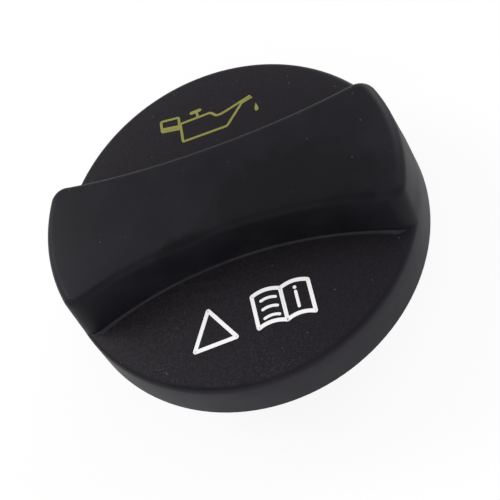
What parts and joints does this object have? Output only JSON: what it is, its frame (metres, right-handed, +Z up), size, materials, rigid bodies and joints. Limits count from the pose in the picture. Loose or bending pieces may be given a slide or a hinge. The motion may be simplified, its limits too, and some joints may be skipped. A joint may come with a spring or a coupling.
{
  "type": "engine oil filler cap",
  "caption": "Round black engine oil filler cap with a waisted hand grip across its top, a drafted skirt, a rubber face seal and a hollow bayonet plug with ramped lugs.",
  "frame": {"origin": "on the cap's axis, at the shoulder of the centring collar, where the filler neck's rim meets the seal", "axes": "+Z up the cap's axis through the grip, +X along the grip"},
  "size_m": [0.066, 0.066, 0.0315],
  "materials": {
    "grip_cover": "fine grained black moulding",
    "bayonet_plug": "plain black moulding",
    "neck_seal": "black moulded rubber"
  },
  "bodies": {
    "root": {"grip_cover": "grip_cover", "bayonet_plug": "bayonet_plug", "neck_seal": "neck_seal"}
  },
  "joints": []
}
